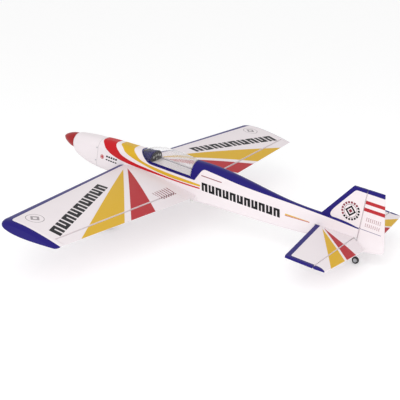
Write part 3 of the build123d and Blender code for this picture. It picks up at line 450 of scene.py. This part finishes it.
def stabilizer_film():
    paint = Paint("stabilizer_film", WHITE)
    span, y = paint.x.magnitude(), paint.y
    hinge = (y - TAIL_HINGE_Y).between(*STAB_HINGE_LINE)
    top = (paint.z > STAB_Z) & ~hinge
    paint.layer(wedge(span, y, *STAB_YELLOW_WEDGE) & top, YELLOW)
    paint.layer(wedge(span, y, *STAB_RED_WEDGE) & top, WING_RED)
    lead = span * (-STAB_SWEEP / STAB_HALF) + STAB_LEAD_Y - y - STAB_BAND
    tip = span * -1.0 + (STAB_HALF - 13.0)
    run_out = paint.curve(y, [(-1027, 14), (-1000, 0.5), (-980, 0)])
    paint.layer(lead.rounded_min(tip + run_out, 9.0) < 0.0, BLUE)
    return film_finish(paint)


# Fin and rudder, as y and z: foot of the leading edge and the direction inwards from it, the
# border's width, its top and its rear, and the roundel.
FIN_LEAD_FOOT, FIN_LEAD_WAY = (-846.0, 96.0), (-0.811, -0.585)
FIN_BAND, FIN_TOP_Z, FIN_REAR_Y = 15.0, 221.0, -1074.0
FIN_MARK, FIN_MARK_RADIUS = (-951.0, 142.0), 34.0


def fin_film():
    """Fin and rudder share one scheme: blue border, pinstripe, bars and a roundel."""
    paint = Paint("fin_film", WHITE)
    y, z = paint.y, paint.z
    ahead, above = y - FIN_LEAD_FOOT[0], z - FIN_LEAD_FOOT[1]
    lead = ahead * FIN_LEAD_WAY[0] + above * FIN_LEAD_WAY[1] - FIN_BAND
    top = z * -1.0 + FIN_TOP_Z
    pin_top = paint.curve(y, [(-1074, 91.8), (-990, 93.0), (-900, 95.2), (-860, 97)])
    pin_foot = paint.curve(y, [(-1074, 90.2), (-990, 91.1), (-900, 92.0), (-860, 91)])
    window = lead.rounded_min(top, 12.0).rounded_min(z - pin_top, 56.0)
    border = (window < 0.0) & (z > pin_foot)
    end = (y > FIN_REAR_Y) | (z > 200.0)
    paint.layer(border & end, BLUE)
    rudder = y < RUDDER_AXIS_Y
    for low, high in ((184.0, 196.5), (158.5, 171.0)):
        paint.layer(rudder & z.between(low, high), WING_RED)
    for low, high in ((124.0, 140.0), (104.0, 117.0)):
        ticks = y.repeat(7.0) < 3.2
        rows = z.repeat(5.0) < 3.6
        area = y.between(-1066.0, -1011.0) & z.between(low, high)
        paint.layer(ticks & rows & area, FAINT)
    ring_mark(paint, y - FIN_MARK[0], z - FIN_MARK[1], FIN_MARK_RADIUS, INK, MAROON)
    return film_finish(paint)


# ---------------------------------------------------------------------------------------------
# Plain finishes.
def spinner_plastic():
    paint = Paint("spinner_plastic", (0.36, 0.016, 0.018))
    paint.shade(paint.noise(24.0, 3.0), 0.86)
    paint.bump(paint.noise(1.2, 2.0), 0.02)
    return paint.finish(0.32, 0.1, Specular_IOR_Level=0.2)


def canopy_plastic():
    """Thin clear sheet, with a painted reflection as a white veil towards the rear; framed in blue along the sill
    and the front rim.
    """
    paint = Paint("canopy_plastic", (0.975, 0.97, 0.975))
    rim = (paint.z - RIM_TOP[1]) * RIM_SLOPE + (RIM_TOP[0] - 5.0)
    front_band = paint.y > rim
    sill_band = paint.z < SILL_Z + 6.0
    middle = paint.curve(paint.y, [
        (y, half - CANOPY_WALL / 2) for y, half, top, crown in reversed(CANOPY_STATIONS)
    ])
    inside = paint.x.magnitude() < middle
    paint.layer(sill_band & inside, CREAM)
    paint.layer((sill_band & ~inside) | front_band, BLUE)
    # Painted reflection: less clear towards the rear, so the white base colour veils what lies behind, as the
    # sheet's reflections do.
    reflection_veil = paint.curve(paint.y, [(-290, 0.15), (-225, 0.13), (-170, 0.0), (-130, 0.0)])
    clear = ~(sill_band | front_band) * (~reflection_veil)
    paint.tree.links.new(clear.socket, paint.shader.inputs["Transmission Weight"])
    return paint.finish(0.04, 0.04, IOR=1.2)


def satin(name, colour, grain=1.4, roughness=0.45, height=0.05, darkest=0.9):
    """Moulded or painted plastic with a fine texture."""
    paint = Paint(name, colour)
    paint.shade(paint.noise(18.0, 4.0), darkest)
    paint.bump(paint.noise(grain, 3.0), height)
    return paint.finish(roughness, 0.14)


# Face of the instrument panel, and its dials: x, z and radius.
PANEL_FACE_Y = -149.6
DIALS = ((-21, 84, 6), (-7, 88, 6), (7, 88, 6), (21, 84, 6), (0, 73.5, 5))


def panel_plastic():
    """Dark instrument panel with pale dial faces, each with ticks and a needle."""
    paint = Paint("panel_plastic", (0.045, 0.045, 0.05))
    paint.shade(paint.noise(7.0, 4.0), 0.75)
    facing = paint.y < PANEL_FACE_Y
    for x, z, radius in DIALS:
        u, v = paint.x - x, paint.z - z
        reach = distance(u, v)
        turn = v.apply("ARCTAN2", u)
        paint.layer(facing & (reach < radius - 1.1), (0.62, 0.64, 0.6))
        ticks = reach.between(radius - 2.3, radius - 1.3) & (turn.repeat(math.pi / 6) < 0.16)
        needle = ((u * 0.8 - v * 0.6).magnitude() < 0.35) & (reach < radius - 2.0)
        paint.layer(facing & (ticks | needle), INK)
    paint.bump(paint.noise(0.9, 3.0), 0.04)
    return paint.finish(0.5, 0.12)


def metal(name, colour, roughness, grain=(1, 1, 1), height=0.02):
    paint = Paint(name, colour)
    paint.shade(paint.noise(11.0, 5.0), 0.8)
    paint.bump(paint.noise(1.1, 4.0, grain), height)
    return paint.finish(roughness, 0.16, Metallic=1.0)


def wood(name, colour, dark):
    """Straight-grained sheet with darker growth lines."""
    paint = Paint(name, colour)
    lines = paint.noise(2.2, 6.0, (6.0, 26.0, 1.0))
    mask = paint.curve(lines, [(0.35, 1.0), (0.5, 0.3), (0.65, 0.0)])
    paint.layer(mask, dark)
    paint.shade(paint.noise(40.0, 3.0), 0.88)
    paint.bump(lines, 0.12)
    return paint.finish(0.62, 0.14)


def rubber():
    paint = Paint("rubber", (0.018, 0.018, 0.019))
    dust = paint.noise(6.0, 5.0)
    paint.layer(paint.curve(dust, [(0.5, 0.0), (0.66, 0.12), (0.85, 0.35)]), (0.11, 0.1, 0.095))
    paint.bump(paint.noise(0.8, 4.0), 0.08)
    return paint.finish(0.72, 0.16)


def tank_plastic():
    paint = Paint("tank_plastic", (0.72, 0.76, 0.73))
    paint.shade(paint.noise(30.0, 3.0), 0.9)
    paint.bump(paint.noise(2.0, 2.0), 0.04)
    return paint.finish(0.38, 0.1, Subsurface_Weight=0.2, Subsurface_Scale=0.01)


fuselage = fuselage_film()
wing = wing_film()
fin = fin_film()
stabilizer = stabilizer_film()
finishes = {
    "red_plastic": spinner_plastic(),
    "cowl_white": cowl_paint(),
    "clear_canopy": canopy_plastic(),
    "cockpit_cream": satin("cockpit_cream", CREAM, 2.4, 0.5, 0.03),
    "cockpit_blue": satin("cockpit_blue", (0.022, 0.017, 0.12), 1.0, 0.5, 0.03, 0.8),
    "panel_grey": panel_plastic(),
    "steel_wire": metal("steel_wire", (0.55, 0.56, 0.58), 0.28),
    "cast_aluminium": metal("cast_aluminium", (0.62, 0.62, 0.63), 0.42, height=0.07),
    "brass": metal("brass", (0.72, 0.52, 0.22), 0.3),
    "balsa": wood("balsa", (0.76, 0.6, 0.4), (0.55, 0.38, 0.21)),
    "plywood": wood("plywood", (0.62, 0.45, 0.27), (0.4, 0.25, 0.13)),
    "black_rubber": rubber(),
    "grey_nylon": satin("grey_nylon", (0.36, 0.37, 0.39)),
    "white_nylon": satin("white_nylon", (0.78, 0.78, 0.75)),
    "black_plastic": satin("black_plastic", (0.025, 0.025, 0.028)),
    "tank_plastic": tank_plastic(),
    "white_film": fuselage,
    "blue_film": fuselage,
}
films = {
    "wing_skin_left": wing, "wing_skin_right": wing, "wing_tips": wing,
    "aileron_left": wing, "aileron_right": wing,
    "stabilizer": stabilizer, "elevator_halves": stabilizer,
    "fin": fin, "rudder": fin,
}


def finish_cad_nodes():
    """Give every node of the frame the finish of its slot, or its own decorated film."""
    slots = {part["node"]: part["material_slot"] for part in frame["record"]["subparts"]}
    for name, node in nodes.items():
        material = films.get(name) or finishes[slots[name]]
        for slot in node.material_slots:
            slot.material = material


finish_cad_nodes()


# ---------------------------------------------------------------------------------------------
# Shaped pieces that stand for nodes of the frame.
def new_piece(name, form, material, body, slot, *replaced):
    """Turn a bmesh in the frame into a smooth piece that rides a body."""
    mesh = bpy.data.meshes.new(name)
    bmesh.ops.recalc_face_normals(form, faces=form.faces)
    form.to_mesh(mesh)
    form.free()
    for face in mesh.polygons:
        face.use_smooth = True
    mesh.materials.append(material)
    piece = bpy.data.objects.new(name, mesh)
    bpy.context.scene.collection.objects.link(piece)
    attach(piece, body)
    if replaced:
        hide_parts(*replaced)
    return piece


def smooth_between(stations, y):
    """Values at y of a smooth line through stations (y, value, ...), front station first."""
    last = len(stations) - 2
    index = 0
    while index < last and y < stations[index + 1][0]:
        index += 1
    here, there = stations[index], stations[index + 1]
    before, after = stations[max(index - 1, 0)], stations[min(index + 2, last + 1)]
    span = there[0] - here[0]
    share = min(max((y - here[0]) / span, 0.0), 1.0)
    values = []
    for column in range(1, len(here)):
        start = (there[column] - before[column]) / (there[0] - before[0]) * span
        end = (after[column] - here[column]) / (after[0] - here[0]) * span
        rise = there[column] - here[column]
        bend = start * (1 - share) ** 2 * share - end * (1 - share) * share**2
        values.append(here[column] + rise * share**2 * (3 - 2 * share) + bend)
    return values


def canopy_arch(y, part):
    """Point of the canopy's arch at y; part goes from -1 at the left foot to 1 at the right."""
    half, top, crown = smooth_between(CANOPY_STATIONS, y)
    base = SILL_Z + 0.5
    crown = min(crown, top - base) - 0.6
    side = 1.0 if part > 0 else -1.0
    along = 1.0 - abs(part)
    wall = 0.2
    if along < wall:
        return half * side, base + (top - crown - base) * along / wall
    turn = (along - wall) / (1 - wall) * math.pi / 2
    return (half - crown * (1 - math.cos(turn))) * side, top - crown * (1 - math.sin(turn))


def rim_start(part):
    """Station where a line along the canopy leaves the slanted front rim."""
    y = RIM_TOP[0]
    for _ in range(12):
        y = RIM_TOP[0] + (canopy_arch(y, part)[1] - RIM_TOP[1]) * RIM_SLOPE - 0.3
        y = min(y, CANOPY_STATIONS[0][0])
    return y


def build_canopy():
    """Blown canopy shell, drawn as lines from the front rim to the rear edge."""
    form = bmesh.new()
    columns, rows = 56, 48
    grid = []
    for column in range(columns + 1):
        part = -1.0 + 2.0 * column / columns
        start = rim_start(part)
        line = []
        for row in range(rows + 1):
            y = start + (CANOPY_STATIONS[-1][0] - start) * row / rows
            x, z = canopy_arch(y, part)
            line.append(form.verts.new(at(x, y, z)))
        grid.append(line)
    for left, right in zip(grid, grid[1:]):
        for row in range(rows):
            form.faces.new((left[row], left[row + 1], right[row + 1], right[row]))
    sheet = finishes["clear_canopy"]
    piece = new_piece("canopy_shell", form, sheet, "airframe", "clear_canopy", "canopy")
    shell = piece.modifiers.new("thickness", "SOLIDIFY")
    shell.thickness = CANOPY_WALL * MM
    shell.offset = -1.0


build_canopy()


# ---------------------------------------------------------------------------------------------
# Studio: camera behind and left of the tail and a little above, pale floor, soft light.
CAMERA_AIM = at(0, -300, 0)
CAMERA_AZIMUTH = math.radians(-57.55)
CAMERA_ELEVATION = math.radians(17.15)
CAMERA_ROLL = math.radians(0.44)
CAMERA_DISTANCE = 3.723
CAMERA_LENS, CAMERA_SHIFT = 89.0, (0.0336, -0.0284)


def add_camera():
    data = bpy.data.cameras.new("camera")
    data.lens = CAMERA_LENS
    data.sensor_width = 36.0
    data.shift_x, data.shift_y = CAMERA_SHIFT
    data.clip_end = 60.0
    camera = bpy.data.objects.new("camera", data)
    bpy.context.scene.collection.objects.link(camera)
    level = math.cos(CAMERA_ELEVATION)
    back = Vector((
        math.sin(CAMERA_AZIMUTH) * level,
        -math.cos(CAMERA_AZIMUTH) * level,
        math.sin(CAMERA_ELEVATION),
    ))
    camera.location = CAMERA_AIM + back * CAMERA_DISTANCE
    turn = (-back).to_track_quat("-Z", "Y").to_matrix() @ Matrix.Rotation(CAMERA_ROLL, 3, "Z")
    camera.rotation_euler = turn.to_euler()
    bpy.context.scene.camera = camera


def add_area(name, place, aim, size, power):
    data = bpy.data.lights.new(name, "AREA")
    data.size = size
    data.energy = power
    light = bpy.data.objects.new(name, data)
    bpy.context.scene.collection.objects.link(light)
    light.location = place
    light.rotation_euler = (Vector(aim) - Vector(place)).to_track_quat("-Z", "Y").to_euler()


def add_studio():
    world = bpy.data.worlds.new("studio")
    world.use_nodes = True
    background = world.node_tree.nodes["Background"]
    background.inputs["Color"].default_value = (1.0, 1.0, 1.0, 1.0)
    background.inputs["Strength"].default_value = 0.86
    bpy.context.scene.world = world
    bpy.context.scene.view_settings.view_transform = "Standard"
    add_area("key", (-2.2, -0.8, 3.4), (0, 0, 0.1), 2.6, 14.0)
    add_area("fill", (-3.2, -1.9, 1.2), (0, 0, 0.1), 2.4, 46.0)
    mesh = bpy.data.meshes.new("floor")
    form = bmesh.new()
    bmesh.ops.create_grid(form, x_segments=1, y_segments=1, size=20.0)
    form.to_mesh(mesh)
    form.free()
    floor = bpy.data.objects.new("floor", mesh)
    bpy.context.scene.collection.objects.link(floor)
    material = bpy.data.materials.new("floor")
    material.use_nodes = True
    shader = material.node_tree.nodes["Principled BSDF"]
    shader.inputs["Base Color"].default_value = (0.97, 0.97, 0.97, 1.0)
    shader.inputs["Roughness"].default_value = 0.9
    shader.inputs["Specular IOR Level"].default_value = 0.1
    shader.inputs["Emission Color"].default_value = (1.0, 1.0, 1.0, 1.0)
    shader.inputs["Emission Strength"].default_value = 0.12
    mesh.materials.append(material)


add_camera()
add_studio()
